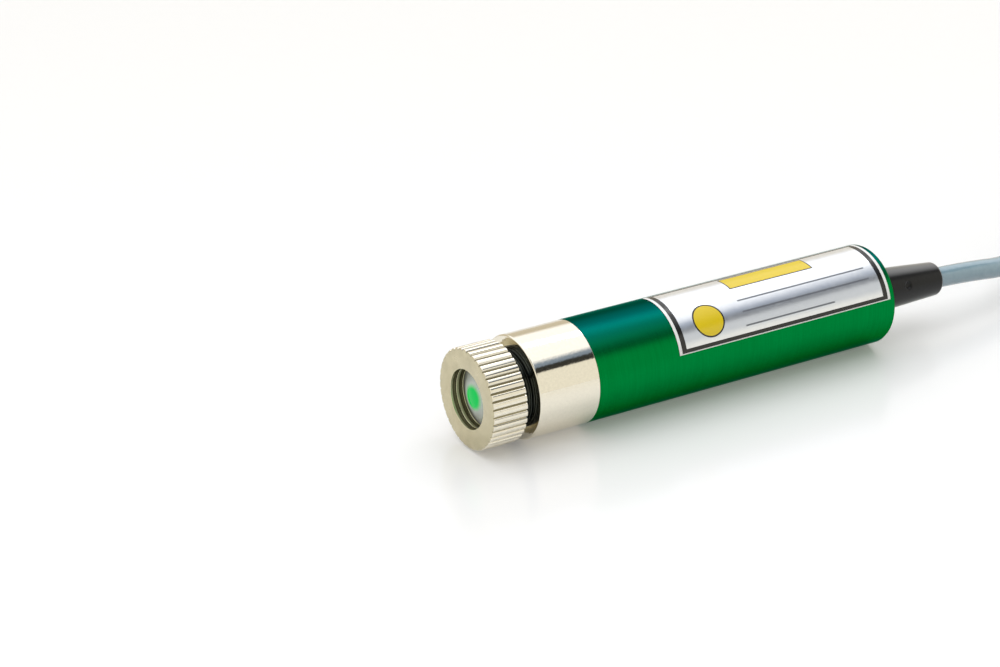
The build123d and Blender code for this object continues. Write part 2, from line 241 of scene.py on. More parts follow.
tube_shape = bmesh.new()
turned(tube_shape, [
    (tube_high.x, tube_bore),
    (tube_high.x, tube_radius),
    (tube_low.x + rear_rounding, tube_radius),
    (tube_low.x + rounding_middle, tube_radius - rounding_middle),
    (tube_low.x, tube_radius - rear_rounding),
    (tube_low.x, rear_hole),
    (tube_low.x + rear_wall, rear_hole),
    (tube_low.x + rear_wall, tube_bore),
], soft_edge=0.00006)
green_anodising = finish("green_anodising", paint(0, 122, 53), paint(0, 130, 59), 1, (0.28, 0.3), 7000,
                         turning_marks, 4e-7, Specular_Tint=(0.03, 0.5, 0.4, 1))
tube_tree = green_anodising.node_tree
reflection_place = tube_tree.nodes.new("ShaderNodeTexCoord")
reflection_axes = tube_tree.nodes.new("ShaderNodeSeparateXYZ")
tube_tree.links.new(reflection_place.outputs["Object"], reflection_axes.inputs["Vector"])
# Painted reflection: the colour turns dark teal towards the tube's top, by height, for bluish light
# reflected there.
painted_reflection_share = faded(tube_tree, reflection_axes.outputs["Z"], reflection_start, reflection_end, 0.0, 1.0)
washed(green_anodising, painted_reflection_share, paint(4, 84, 80))
new_piece("housing_shell", tube_shape, green_anodising, "green_anodised", "housing", "housing_tube")

# Label
# Silver polyester foil with a painted bluish reflection in a band along it, a printed black frame, a yellow
# bar, a yellow disc and thin ruled lines. It is self-adhesive and wraps a quarter of the way round the
# tube.

label_low, label_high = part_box("type_label")
label_start = math.radians(15)
label_arc = math.radians(92)
label_steps = 92
label_thickness = 0.00008
label_top = tube_radius + label_thickness
to_mm = 1000

label_shape = bmesh.new()
label_layer = label_shape.loops.layers.uv.new("print")
label_corners = [
    label_shape.verts.new((x, radius * math.cos(label_start), axis_height + radius * math.sin(label_start)))
    for x, radius in ((label_high.x, tube_radius), (label_low.x, tube_radius), (label_low.x, label_top),
                      (label_high.x, label_top))
]
label_edge = label_shape.faces.new(label_corners)
bmesh.ops.spin(label_shape, geom=[label_edge], cent=(0, 0, axis_height), axis=(1, 0, 0), angle=label_arc,
               steps=label_steps)
bmesh.ops.remove_doubles(label_shape, verts=label_shape.verts[:], dist=same_place)
bmesh.ops.recalc_face_normals(label_shape, faces=label_shape.faces[:])
for face in label_shape.faces:
    for loop in face.loops:
        along, aside, up = loop.vert.co
        angle = math.atan2(up - axis_height, aside) - label_start
        loop[label_layer].uv = ((label_high.x - along) * to_mm, angle * label_top * to_mm)

label_length = (label_high.x - label_low.x) * to_mm
label_width = label_arc * label_top * to_mm
foil_gloss = 0.65
label_foil = finish("label_foil", paint(238, 240, 244), paint(243, 245, 248), foil_gloss, (0.17, 0.22), 900,
                    depth=5e-6)
label_tree = label_foil.node_tree
label_shader = label_tree.nodes["Principled BSDF"]
label_place = label_tree.nodes.new("ShaderNodeUVMap")
label_place.uv_map = "print"
label_axes = label_tree.nodes.new("ShaderNodeSeparateXYZ")
label_tree.links.new(label_place.outputs["UV"], label_axes.inputs["Vector"])


def printed_field(left, right, low, high):
    """Mask of a rectangle on the label, in millimetres from its front lower corner."""
    sides = []
    for axis, start, end in (("X", left, right), ("Y", low, high)):
        inside = label_tree.nodes.new("ShaderNodeMath")
        inside.operation = "COMPARE"
        inside.inputs[1].default_value = (start + end) / 2
        inside.inputs[2].default_value = (end - start) / 2
        label_tree.links.new(label_axes.outputs[axis], inside.inputs[0])
        sides.append(inside.outputs["Value"])
    both = label_tree.nodes.new("ShaderNodeMath")
    both.operation = "MULTIPLY"
    label_tree.links.new(sides[0], both.inputs[0])
    label_tree.links.new(sides[1], both.inputs[1])
    return both.outputs["Value"]


def printed_disc(along, up, radius):
    """Mask of a disc on the label, in the same millimetres."""
    away = label_tree.nodes.new("ShaderNodeVectorMath")
    away.operation = "DISTANCE"
    away.inputs[1].default_value = (along, up, 0)
    label_tree.links.new(label_place.outputs["UV"], away.inputs[0])
    inside = label_tree.nodes.new("ShaderNodeMath")
    inside.operation = "LESS_THAN"
    inside.inputs[1].default_value = radius
    label_tree.links.new(away.outputs["Value"], inside.inputs[0])
    return inside.outputs["Value"]


def overprint(mask, socket, ink):
    """Lays an ink, or a number, over what a socket of the label's shader has."""
    layer = label_tree.nodes.new("ShaderNodeMix")
    colour = socket == "Base Color"
    layer.data_type = "RGBA" if colour else "FLOAT"
    below, above, result = (6, 7, 2) if colour else (2, 3, 0)
    links = label_shader.inputs[socket].links
    if links:
        label_tree.links.new(links[0].from_socket, layer.inputs[below])
    else:
        layer.inputs[below].default_value = label_shader.inputs[socket].default_value
    layer.inputs[above].default_value = ink
    label_tree.links.new(mask, layer.inputs[0])
    label_tree.links.new(layer.outputs[result], label_shader.inputs[socket])


# Painted reflection: a soft bluish band along the foil, for bluish light reflected in it.
label_reflection_share = label_tree.nodes.new("ShaderNodeMath")
label_reflection_share.operation = "MULTIPLY"
reflection_band_strength = 0.4
band_rise = faded(label_tree, label_axes.outputs["Y"], 0.9, 2.2, 0.0, reflection_band_strength)
band_fall = faded(label_tree, label_axes.outputs["Y"], 3.8, 5.6)
label_tree.links.new(band_rise, label_reflection_share.inputs[0])
label_tree.links.new(band_fall, label_reflection_share.inputs[1])
washed(label_foil, label_reflection_share.outputs["Value"], paint(136, 154, 182))
white_ink, black_ink = paint(246, 246, 246), paint(30, 29, 28)
yellow_ink, grey_ink = paint(232, 204, 30), paint(112, 116, 124)
end_margin, side_margin = 0.5, 0.16
end_bar, side_bar = 0.85, 0.6
disc_along, disc_up = 6.6, 4.2
disc_radius, disc_rim = 2.5, 0.25
# Each field has its ink, or none for bare foil, then its left, right, low and high edges in millimetres.
fields = [
    (white_ink, 0, label_length, 0, label_width),
    (black_ink, end_margin, label_length - end_margin, side_margin, label_width - side_margin),
    (None, end_margin + end_bar, label_length - end_margin - end_bar,
     side_margin + side_bar, label_width - side_margin - side_bar),
    (black_ink, 13.2, 29.1, 8.55, 12.0),
    (yellow_ink, 13.4, 28.9, 8.75, 11.8),
    (grey_ink, 12.9, 37.3, 5.9, 6.15),
    (grey_ink, 12.9, 37.3, 3.95, 4.2),
    (grey_ink, 12.7, 29.7, 1.75, 2.0),
]
foil_colour = label_shader.inputs["Base Color"].links[0].from_socket
for ink, left, right, low, high in fields:
    mask = printed_field(left, right, low, high)
    overprint(mask, "Base Color", ink or white_ink)
    overprint(mask, "Metallic", 0.0 if ink else foil_gloss)
    if not ink:
        label_tree.links.new(foil_colour, label_shader.inputs["Base Color"].links[0].from_node.inputs[7])
for ink, radius in ((black_ink, disc_radius + disc_rim), (yellow_ink, disc_radius)):
    mask = printed_disc(disc_along, disc_up, radius)
    overprint(mask, "Base Color", ink)
    overprint(mask, "Metallic", 0.0)
new_piece("printed_label", label_shape, label_foil, "label_foil", "housing", "type_label")

# Front sleeve
# Turned brass with bright nickel plate. Its spigot goes into the tube, and its bore has the focus thread's
# outer half, so that the neck runs in it.

sleeve_low, sleeve_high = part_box("front_sleeve")
sleeve_bore = 0.00603
sleeve_chamfer = 0.00018
spigot_play = 0.00003
spigot_radius = tube_bore - spigot_play
glue_gap = 0.00002
shoulder = tube_high.x + glue_gap

sleeve_shape = bmesh.new()
turned(sleeve_shape, [
    (sleeve_high.x, sleeve_bore),
    (sleeve_high.x, tube_radius - sleeve_chamfer),
    (sleeve_high.x - sleeve_chamfer, tube_radius),
    (shoulder, tube_radius),
    (shoulder, spigot_radius),
    (sleeve_low.x, spigot_radius),
    (sleeve_low.x, sleeve_bore),
], soft_edge=0.00007)
bright_nickel = finish("bright_nickel", paint(231, 225, 209), paint(236, 230, 214), 1, (0.06, 0.09), 2400,
                       depth=5e-6)
new_piece("nickel_sleeve", sleeve_shape, bright_nickel, "nickel", "housing", "front_sleeve")

# Focus spring and washer
# A coil of flat spring wire stands on the diode holder and pushes on a plain steel washer, which lies on
# the end of the lens barrel. It takes the play out of the thread.

spring_low, spring_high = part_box("focus_spring")
wire_height, wire_width, wire_rounding = 0.0005, 0.0008, 0.00006
wire_outside = spring_high.z - axis_height
wire_inside = wire_outside - wire_width
spring_length = spring_high.x - spring_low.x
spring_coils = 4
coil_steps = 72

spring_shape = bmesh.new()
wire_end = spring_shape.faces.new([
    spring_shape.verts.new((spring_low.x + x, 0, axis_height + radius))
    for x, radius in ((0, wire_inside), (0, wire_outside), (wire_height, wire_outside),
                      (wire_height, wire_inside))
])
rise = spring_length - wire_height
bmesh.ops.spin(spring_shape, geom=[wire_end], cent=(0, 0, axis_height), axis=(1, 0, 0),
               dvec=(rise / (spring_coils * coil_steps), 0, 0), angle=2 * math.pi * spring_coils,
               steps=spring_coils * coil_steps)
bmesh.ops.remove_doubles(spring_shape, verts=spring_shape.verts[:], dist=same_place)
bmesh.ops.recalc_face_normals(spring_shape, faces=spring_shape.faces[:])
wire_edges = [edge for edge in spring_shape.edges
              if edge.is_manifold and edge.calc_face_angle() > sharp_angle]
bmesh.ops.bevel(spring_shape, geom=wire_edges, offset=wire_rounding, affect="EDGES", segments=2,
                profile=0.5, material=-1)
spring_steel = finish("spring_steel", paint(142, 144, 148), paint(176, 178, 182), 1, (0.25, 0.38), 5000,
                      depth=2e-6)
focus_coil = new_piece("focus_coil", spring_shape, spring_steel, "spring_steel", None, "focus_spring")
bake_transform(focus_coil)
dress(spring_steel, "spring_washer")

# Lens barrel, lens and retainer
# The black anodised barrel has a fine thread cut on it, which shows behind the focus ring. A domed glass
# lens and a plain spacer ring lie in its pocket, held by the focus ring. A painted green glow in the lens's
# middle, emission over a dark green wash, stands for the diode's light shining through.


def off_axis(tree):
    """Distance from the barrel's axis, in metres."""
    place = tree.nodes.new("ShaderNodeTexCoord")
    centre = tree.nodes.new("ShaderNodeMapping")
    centre.inputs["Location"].default_value = (0, 0, -axis_height)
    centre.inputs["Scale"].default_value = (0, 1, 1)
    reach = tree.nodes.new("ShaderNodeVectorMath")
    reach.operation = "LENGTH"
    tree.links.new(place.outputs["Object"], centre.inputs["Vector"])
    tree.links.new(centre.outputs["Vector"], reach.inputs[0])
    return reach.outputs["Value"]


barrel_low, barrel_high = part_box("lens_barrel")
thread_crest = barrel_high.z - axis_height
thread_depth, thread_sink = 0.00022, 0.00004
thread_pitch = 0.0005
thread_steps = 72
lens_low, lens_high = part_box("collimating_lens")
lens_radius = lens_high.z - axis_height
pocket_play = 0.00003
pocket_radius = lens_radius + pocket_play
lens_ledge = 0.0009
pocket_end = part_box("lens_retainer")[0].x

barrel_shape = bmesh.new()
turned(barrel_shape, [
    (barrel_high.x, pocket_radius),
    (barrel_high.x, thread_crest - thread_depth),
    (barrel_low.x, thread_crest - thread_depth),
    (barrel_low.x, pocket_radius - lens_ledge),
    (pocket_end, pocket_radius - lens_ledge),
    (pocket_end, pocket_radius),
])
thread_root = thread_crest - thread_depth - thread_sink
thread_turns = int((barrel_high.x - barrel_low.x) / thread_pitch) - 1
thread_end = barrel_shape.faces.new([
    barrel_shape.verts.new((barrel_low.x + share * thread_pitch, 0, axis_height + radius))
    for share, radius in ((0.0, thread_root), (0.19, thread_root), (0.5, thread_root), (0.3, thread_crest),
                          (0.2, thread_crest))
])
bmesh.ops.spin(barrel_shape, geom=[thread_end], cent=(0, 0, axis_height), axis=(1, 0, 0),
               dvec=(thread_pitch / thread_steps, 0, 0), angle=2 * math.pi * thread_turns,
               steps=thread_steps * thread_turns)
bmesh.ops.remove_doubles(barrel_shape, verts=barrel_shape.verts[:], dist=same_place)
bmesh.ops.recalc_face_normals(barrel_shape, faces=barrel_shape.faces[:])
black_anodising = finish("black_anodising", paint(42, 46, 45), paint(70, 76, 73), 0.9, (0.12, 0.18), 8000,
                         turning_marks, 1e-6)
new_piece("threaded_barrel", barrel_shape, black_anodising, "black_anodised", "focus_head", "lens_barrel")
dress(bright_nickel, "lens_retainer")

dome_front = lens_high.x
flat_front = barrel_high.x
dome_height = dome_front - flat_front
lens_rim = 0.0005
dome_edge = lens_radius - lens_rim
dome_curve = (dome_edge**2 + dome_height**2) / (2 * dome_height)
dome_angle = math.asin(dome_edge / dome_curve)
dome_steps = 12
dome_angles = [dome_angle * step / dome_steps for step in range(dome_steps + 1)]
lens_shape = bmesh.new()
turned(lens_shape, [
    (dome_front - dome_curve * (1 - math.cos(angle)), dome_curve * math.sin(angle)) for angle in dome_angles
] + [(flat_front, lens_radius), (lens_low.x, lens_radius), (lens_low.x, 0)], steps=96, closed=False)

lens_glass = finish("lens_glass", paint(224, 232, 230), paint(238, 243, 241), 0, (0.04, 0.07), 800,
                    Transmission_Weight=0.06, IOR=1.5, Specular_IOR_Level=0.1,
                    Emission_Color=paint(0, 216, 92))
glass_tree = lens_glass.node_tree
glass_reach = off_axis(glass_tree)
# Painted light: the lens's middle glows green by emission over a dark green wash, for the diode's beam
# shining through.
glow_start, glow_end, glow_strength = 0.0013, 0.0023, 0.75
edge_start, edge_end = 0.0039, 0.0048
glow = faded(glass_tree, glass_reach, glow_start, glow_end, glow_strength, 0.0)
glass_tree.links.new(glow, glass_tree.nodes["Principled BSDF"].inputs["Emission Strength"])
washed(lens_glass, faded(glass_tree, glass_reach, edge_start, edge_end, 0.0, 1.0), paint(112, 110, 124))
washed(lens_glass, faded(glass_tree, glass_reach, glow_start, glow_end), paint(0, 60, 25))
new_piece("domed_lens", lens_shape, lens_glass, "lens_glass", "focus_head", "collimating_lens")

# Focus ring
# Turned brass with bright nickel plate and a straight knurl of forty V grooves, which run out through the
# chamfer. It is pressed on the lens barrel, and turning it screws the lens in and out.

ring_low, ring_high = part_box("focus_ring")
ring_step, ring_wall, press_gap = 0.0002, 0.0014, 0.00002
ring_radius = tube_radius - ring_step
ring_seat = thread_crest + press_gap
ring_aperture = thread_crest - ring_wall
groove_count, groove_depth = 40, 0.0004
ridge_width, ridge_crown = 0.00076, 0.00007
columns = 16 * groove_count
ring_chamfer = 0.00015
under_knurl = ring_radius - 1.3 * groove_depth
aperture_groove_starts = (0.0003, 0.0014)
aperture_groove_width, aperture_groove_flank = 0.0006, 0.00005
aperture_groove_floor = ring_aperture + 0.0003

ring_shape = bmesh.new()
aperture_grooves = []
for start in aperture_groove_starts:
    groove_back = barrel_high.x + start
    groove_front = groove_back + aperture_groove_width
    aperture_grooves += [(groove_back, ring_aperture),
                         (groove_back + aperture_groove_flank, aperture_groove_floor),
                         (groove_front, aperture_groove_floor),
                         (groove_front + aperture_groove_flank, ring_aperture)]
turned(ring_shape, aperture_grooves + [
    (ring_high.x, ring_aperture),
    (ring_high.x, under_knurl),
    (ring_high.x, ring_radius - ring_chamfer),
    (ring_high.x - ring_chamfer, ring_radius),
    (ring_low.x, ring_radius),
    (ring_low.x, under_knurl),
    (ring_low.x, ring_seat),
    (barrel_high.x, ring_seat),
    (barrel_high.x, ring_aperture),
], steps=columns, soft_edge=0.00006)
half_ridge, half_pitch = ridge_width / 2, math.pi * ring_radius / groove_count
for vert in ring_shape.verts:
    spoke = Vector((0, vert.co.y, vert.co.z - axis_height))
    off_ridge = abs(math.atan2(spoke.z, spoke.y) * ring_radius % (2 * half_pitch) - half_pitch)
    knurl_depth = ridge_crown * min(1, off_ridge / half_ridge) ** 2
    if off_ridge > half_ridge:
        knurl_depth += (groove_depth - ridge_crown) * (off_ridge - half_ridge) / (half_pitch - half_ridge)
    limit = ring_radius - knurl_depth
    if spoke.length > limit:
        vert.co += spoke * (limit / spoke.length - 1)
bmesh.ops.remove_doubles(ring_shape, verts=ring_shape.verts[:], dist=same_place)
bored, end_face = 1, 2
for face in ring_shape.faces:
    centre = face.calc_center_median()
    face_radius = math.hypot(centre.y, centre.z - axis_height)
    if abs(face.normal.x) > 0.9 and face_radius > aperture_groove_floor:
        face.material_index = end_face
    elif face_radius < ring_seat:
        face.material_index = bored

knurl_nickel = finish("knurl_nickel", paint(231, 225, 209), paint(237, 231, 215), 1, (0.08, 0.13), 1600,
                      depth=3e-6)
knurl_tree = knurl_nickel.node_tree
# Painted shade: the nickel darkens to a brownish grey towards the floor of each knurl groove.
painted_groove_shade = faded(knurl_tree, off_axis(knurl_tree), ring_radius - groove_depth,
                    ring_radius - 0.3 * groove_depth)
washed(knurl_nickel, painted_groove_shade, paint(134, 126, 96))
dull_bore = finish("dull_bore", paint(192, 190, 156), paint(224, 222, 188), 1, (0.16, 0.24), 5000,
                   turning_marks, 2e-6)
bore_tree = dull_bore.node_tree
# Painted shade: the bore darkens where it lies deeper than the aperture, in its two grooves and behind
# them.
painted_bore_shade = faded(bore_tree, off_axis(bore_tree), ring_aperture + 0.00005, ring_aperture + 0.0002,
                   0.0, 1.0)
washed(dull_bore, painted_bore_shade, paint(112, 108, 80))
faced_nickel = finish("faced_nickel", paint(188, 179, 149), paint(202, 193, 162), 1, (0.2, 0.28), 500)
face_tree = faced_nickel.node_tree
face_rings = face_tree.nodes.new("ShaderNodeTexNoise")
face_rings.noise_dimensions = "1D"
face_rings.inputs["Scale"].default_value = 12000
face_tree.links.new(off_axis(face_tree), face_rings.inputs["W"])
face_relief = raised(face_tree, face_rings.outputs["Fac"], 2e-6)
face_tree.links.new(face_relief, face_tree.nodes["Principled BSDF"].inputs["Normal"])
knurled_ring = new_piece("knurled_ring", ring_shape, knurl_nickel, "nickel", "focus_head", "focus_ring")
knurled_ring.data.materials.append(dull_bore)
knurled_ring.data.materials.append(faced_nickel)

# Strain relief
# Black rubber boot, moulded in one with the plug that snaps into the rear wall. It tapers to a rounded end,
# has a small ejector dimple and a painted pale highlight along its top, and the cable's weight tips it down
# a little.

boot_droop = math.radians(2.7)
boot_length = 0.0144
boot_root_radius, boot_tip_radius = 0.0036, 0.00275
boot_bore = 0.00172
boot_root = Vector((tube_low.x, 0, axis_height))
boot_direction = Vector((-math.cos(boot_droop), 0, -math.sin(boot_droop)))
boot_mouth = boot_root + boot_direction * boot_length
boot_overlap = 0.001
tip_rounding = 0.0007
dimple_setback, dimple_radius, dimple_depth = 0.0078, 0.00069, 0.0004
dimple_turn = math.radians(22)
dimple_mesh, dimple_rings = 0.0001, 9
plug_bore, plug_neck, plug_head = 0.0019, 0.0029, 0.0039


def boot_radius(reach):
    """Outside radius of the boot's cone at a distance behind the rear wall."""
    return boot_root_radius + (boot_tip_radius - boot_root_radius) * reach / boot_length


boot_shape = bmesh.new()
dimple_reach = boot_length - dimple_setback
reaches = [-boot_overlap, 0.003]
reaches += [dimple_reach + dimple_mesh * step for step in range(-dimple_rings, dimple_rings + 1)]
tip_angles = [math.radians(15 * step) for step in range(7)]
turned(boot_shape, [(boot_root.x + boot_overlap, boot_bore)]
       + [(boot_root.x - reach, boot_radius(reach)) for reach in reaches]
       + [(boot_root.x - boot_length + tip_rounding * (1 - math.sin(angle)),
           boot_tip_radius - tip_rounding * (1 - math.cos(angle))) for angle in tip_angles]
       + [(boot_root.x - boot_length, boot_bore)], steps=144, soft_edge=0.00006)
dimple = Vector((boot_root.x - dimple_reach, boot_radius(dimple_reach) * math.cos(dimple_turn),
                 axis_height + boot_radius(dimple_reach) * math.sin(dimple_turn)))
for vert in boot_shape.verts:
    off_dimple = (vert.co - dimple).length / dimple_radius
    if off_dimple < 1:
        spoke = Vector((0, vert.co.y, vert.co.z - axis_height)).normalized()
        vert.co -= spoke * dimple_depth * (1 - off_dimple**4)
bmesh.ops.rotate(boot_shape, verts=boot_shape.verts[:], cent=boot_root,
                 matrix=Matrix.Rotation(-boot_droop, 3, "Y"))
boot_geometry = boot_shape.verts[:] + boot_shape.edges[:] + boot_shape.faces[:]
boot_cut = bmesh.ops.bisect_plane(boot_shape, geom=boot_geometry, plane_co=boot_root, plane_no=(1, 0, 0),
                                  clear_outer=True)
boot_rims = [edge for edge in boot_cut["geom_cut"] if isinstance(edge, bmesh.types.BMEdge)]
bmesh.ops.bridge_loops(boot_shape, edges=boot_rims)
plug_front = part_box("strain_relief")[1].x
turned(boot_shape, [
    (plug_front, plug_bore),
    (plug_front, plug_head),
    (boot_root.x + rear_wall, plug_head),
    (boot_root.x + rear_wall, plug_neck),
    (boot_root.x, plug_neck),
    (boot_root.x, plug_bore),
], steps=96)
boot_rubber = finish("boot_rubber", paint(10, 10, 11), paint(17, 17, 18), 0, (0.3, 0.38), 3000, depth=6e-6,
                     Specular_IOR_Level=0.15, Coat_Weight=0.25, Coat_Roughness=0.15, Sheen_Weight=1.0,
                     Sheen_Roughness=0.3)
boot_slope = (boot_root_radius - boot_tip_radius) / boot_length + math.tan(boot_droop)
boot_ridge = axis_height + boot_root_radius - boot_slope * boot_root.x
# Painted highlight: the boot's top is washed pale grey along its ridge, for the overhead light's sheen.
highlight_depth, highlight_strength = 0.0007, 0.45
boot_tree = boot_rubber.node_tree
boot_place = boot_tree.nodes.new("ShaderNodeTexCoord")
ridge_height = boot_tree.nodes.new("ShaderNodeVectorMath")
ridge_height.operation = "DOT_PRODUCT"
ridge_height.inputs[1].default_value = (-boot_slope, 0, 1)
boot_tree.links.new(boot_place.outputs["Object"], ridge_height.inputs[0])
painted_top_highlight = faded(boot_tree, ridge_height.outputs["Value"], boot_ridge - highlight_depth, boot_ridge, 0.0,
              highlight_strength)
washed(boot_rubber, painted_top_highlight, paint(150, 150, 150))
new_piece("rubber_boot", boot_shape, boot_rubber, "black_rubber", "housing", "strain_relief")

# Cable
# Two-core lead with a grey PVC jacket. It leaves the boot along the boot's slope, sags to one side and is
# put away in a folded hank of six strands in line with the module, lying on the same surface.

cable_radius = 0.0017
lead_route = [
    boot_mouth,
    boot_mouth + boot_direction * 0.0065,
    Vector((ring_high.x - 0.1055, -0.0003, 0.0056)),
    Vector((ring_high.x - 0.1138, -0.0058, 0.0056)),
    Vector((ring_high.x - 0.1205, -0.0058, 0.0056)),
]
near_fold, far_fold, hank_middle = ring_high.x - 0.1305, ring_high.x - 0.1696, 0.00695
outer_fold, inner_fold = 0.01275, 0.00935
low_layer, middle_layer, top_layer = 0.0022, 0.0056, 0.0090
strands = [(outer_fold, middle_layer), (outer_fold, low_layer), (inner_fold, low_layer),
           (inner_fold, middle_layer), (inner_fold, top_layer), (outer_fold, top_layer)]
last_turn = len(strands) - 1
run_length = near_fold - far_fold
fold_length = math.pi * (outer_fold + inner_fold) / 2
fold_steps, run_steps = 8, 4
fold_angle = math.pi / fold_steps
change_length, first_change, change_spread = 0.018, 0.005, 0.42

hank_route = []
for turn, strand in enumerate(strands):
    after = strands[min(turn + 1, last_turn)]
    change_end = first_change + change_spread * change_length * turn
    places = [("run", -1, (step + 0.5) / run_steps) for step in range(run_steps)]
    places += [("fold", -1, (step + 0.5) / fold_steps) for step in range(fold_steps)]
    if turn < last_turn:
        places += [("run", 1, (step + 0.5) / run_steps) for step in range(run_steps)]
        places += [("fold", 1, (step + 0.5) / fold_steps) for step in range(fold_steps)]
    for kind, side, share in places:
        to_go = (1 - share) * (run_length if kind == "run" else fold_length)
        to_go += fold_length if kind == "run" else 0
        to_go += run_length + fold_length if side < 0 else 0
        blend = min(1, max(0, 1 - (to_go - change_end) / change_length))
        blend = blend * blend * (3 - 2 * blend)
        radius, height = (now + (then - now) * blend for now, then in zip(strand, after))
        start, end = (near_fold, far_fold) if side < 0 else (far_fold, near_fold)
        if kind == "run":
            hank_route.append((start + (end - start) * share, hank_middle + side * radius, height))
        else:
            reach, angle = radius / math.cos(fold_angle / 2), math.pi * share
            hank_route.append((end + side * reach * math.sin(angle),
                               hank_middle + side * reach * math.cos(angle), height))
hank_route.append((far_fold, hank_middle + outer_fold, top_layer))

cable_curve = bpy.data.curves.new("cable", "CURVE")
cable_curve.dimensions = "3D"
cable_line = cable_curve.splines.new("NURBS")
cable_points = [tuple(point) for point in lead_route] + hank_route
cable_line.points.add(len(cable_points) - 1)
for point, place in zip(cable_line.points, cable_points):
    point.co = (*place, 1)
cable_line.order_u = 3
cable_line.use_endpoint_u = True
cable_line.resolution_u = 16
cable_curve.bevel_depth = cable_radius
cable_curve.bevel_resolution = 8
cable_curve.use_fill_caps = True
grey_jacket = finish("grey_jacket", paint(134, 162, 176), paint(141, 168, 182), 0, (0.2, 0.26), 900,
                     depth=2e-6, Coat_Weight=1.0, Coat_Roughness=0.12, Sheen_Weight=0.6,
                     Sheen_Roughness=0.25)
cable_curve.materials.append(grey_jacket)
cable = bpy.data.objects.new("cable", cable_curve)
bpy.context.scene.collection.objects.link(cable)
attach(cable, "housing")
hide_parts("cable_lead", "cable_hank")
dress(grey_jacket, "cable_entry")

# Hank ties
# Two flat ties of black plastic, one round each run of the hank. They are bent round the six strands, so
# their corners are round.

ties_low, ties_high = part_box("hank_ties")
tie_thickness, tie_corner, tie_rounding = 0.0005, 0.0014, 0.0001
tie_half_width = 2 * cable_radius + tie_thickness / 2

tie_shape = bmesh.new()
tie_low, tie_high = ties_low.z + tie_thickness / 2, ties_high.z - tie_thickness / 2
for run_side in (-1, 1):
    tie_y = hank_middle + run_side * (outer_fold + inner_fold) / 2
    tie_shape.faces.new([
        tie_shape.verts.new((ties_low.x, tie_y + side * tie_half_width, height))
        for side, height in ((-1, tie_low), (1, tie_low), (1, tie_high), (-1, tie_high))
    ])
bmesh.ops.bevel(tie_shape, geom=tie_shape.verts[:], offset=tie_corner, affect="VERTICES", segments=6,
                profile=0.5, material=-1)
tie_outlines = tie_shape.faces[:]
drawn = bmesh.ops.extrude_edge_only(tie_shape, edges=tie_shape.edges[:])
drawn_verts = [item for item in drawn["geom"] if isinstance(item, bmesh.types.BMVert)]
bmesh.ops.translate(tie_shape, verts=drawn_verts, vec=(ties_high.x - ties_low.x, 0, 0))
bmesh.ops.delete(tie_shape, geom=tie_outlines, context="FACES_ONLY")
bmesh.ops.recalc_face_normals(tie_shape, faces=tie_shape.faces[:])
tie_plastic = finish("tie_plastic", paint(26, 26, 27), paint(40, 40, 42), 0, (0.42, 0.55), 3500, depth=6e-6)
ties = new_piece("twist_ties", tie_shape, tie_plastic, "tie_plastic", "housing", "hank_ties")
tie_wall = ties.modifiers.new("wall", "SOLIDIFY")
tie_wall.thickness, tie_wall.offset = tie_thickness, 0
tie_edge = ties.modifiers.new("soft_edge", "BEVEL")
tie_edge.width, tie_edge.segments = tie_rounding, 2

# Free end of the cable
# The two PVC covered cores come out of the cut jacket. Each ends in a ferrule of tinned copper, a round
# collar with a square pin that is crimped on the stripped strands.

cores, core_axes = [], []
for node, name, pvc, slot in (("end_core_red", "red_core", red_pvc, "core_red"),
                              ("end_core_black", "black_core", black_pvc, "core_black")):
    core_low, core_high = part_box(node)
    core_radius = (core_high.z - core_low.z) / 2
    core_middle = (core_low + core_high) / 2
    core_axes.append(Vector((0, core_middle.y, core_middle.z - axis_height)))
    core_shape = bmesh.new()
    turned(core_shape, [
        (core_low.x, 0),
        (core_low.x, core_radius),
        (core_high.x, core_radius),
        (core_high.x, 0),
    ], steps=32, closed=False)
    bmesh.ops.translate(core_shape, verts=core_shape.verts[:], vec=core_axes[-1])
    cores.append(new_piece(name, core_shape, pvc, slot, "housing", node))

ferrules_low, ferrules_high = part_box("wire_ferrules")
collar_length, collar_taper = 0.0024, 0.0003
collar_end = ferrules_low.x + collar_length
collar_radius = (ferrules_high.z - ferrules_low.z) / 2
pin_half = 0.00035
pin_corner = pin_half * math.sqrt(2)
crimp_corner = 0.8 * pin_corner
crimp_count = 11
crimp_length = (ferrules_high.x - collar_end) / crimp_count

ferrule_shape = bmesh.new()
pin_outline = [(collar_end, 0)]
for step in range(crimp_count):
    pin_outline.append((collar_end + crimp_length * step, crimp_corner if step % 2 else pin_corner))
pin_outline += [(ferrules_high.x, pin_corner), (ferrules_high.x, 0)]
turned(ferrule_shape, pin_outline, steps=4, soft_edge=0.00004, closed=False)
bmesh.ops.rotate(ferrule_shape, verts=ferrule_shape.verts[:], cent=(0, 0, axis_height),
                 matrix=Matrix.Rotation(math.pi / 4, 3, "X"))
turned(ferrule_shape, [
    (ferrules_low.x, 0),
    (ferrules_low.x, collar_radius),
    (collar_end - collar_taper, collar_radius),
    (collar_end, 0.7 * collar_radius),
    (collar_end, 0),
], steps=32, closed=False)
bmesh.ops.translate(ferrule_shape, verts=ferrule_shape.verts[:], vec=core_axes[0])
first_ferrule = ferrule_shape.verts[:] + ferrule_shape.edges[:] + ferrule_shape.faces[:]
second_ferrule = bmesh.ops.duplicate(ferrule_shape, geom=first_ferrule)["geom"]
second_verts = [item for item in second_ferrule if isinstance(item, bmesh.types.BMVert)]
bmesh.ops.translate(ferrule_shape, verts=second_verts, vec=core_axes[1] - core_axes[0])
tinned_copper = finish("tinned_copper", paint(186, 188, 190), paint(212, 213, 214), 1, (0.2, 0.32), 4000,
                       depth=3e-6)
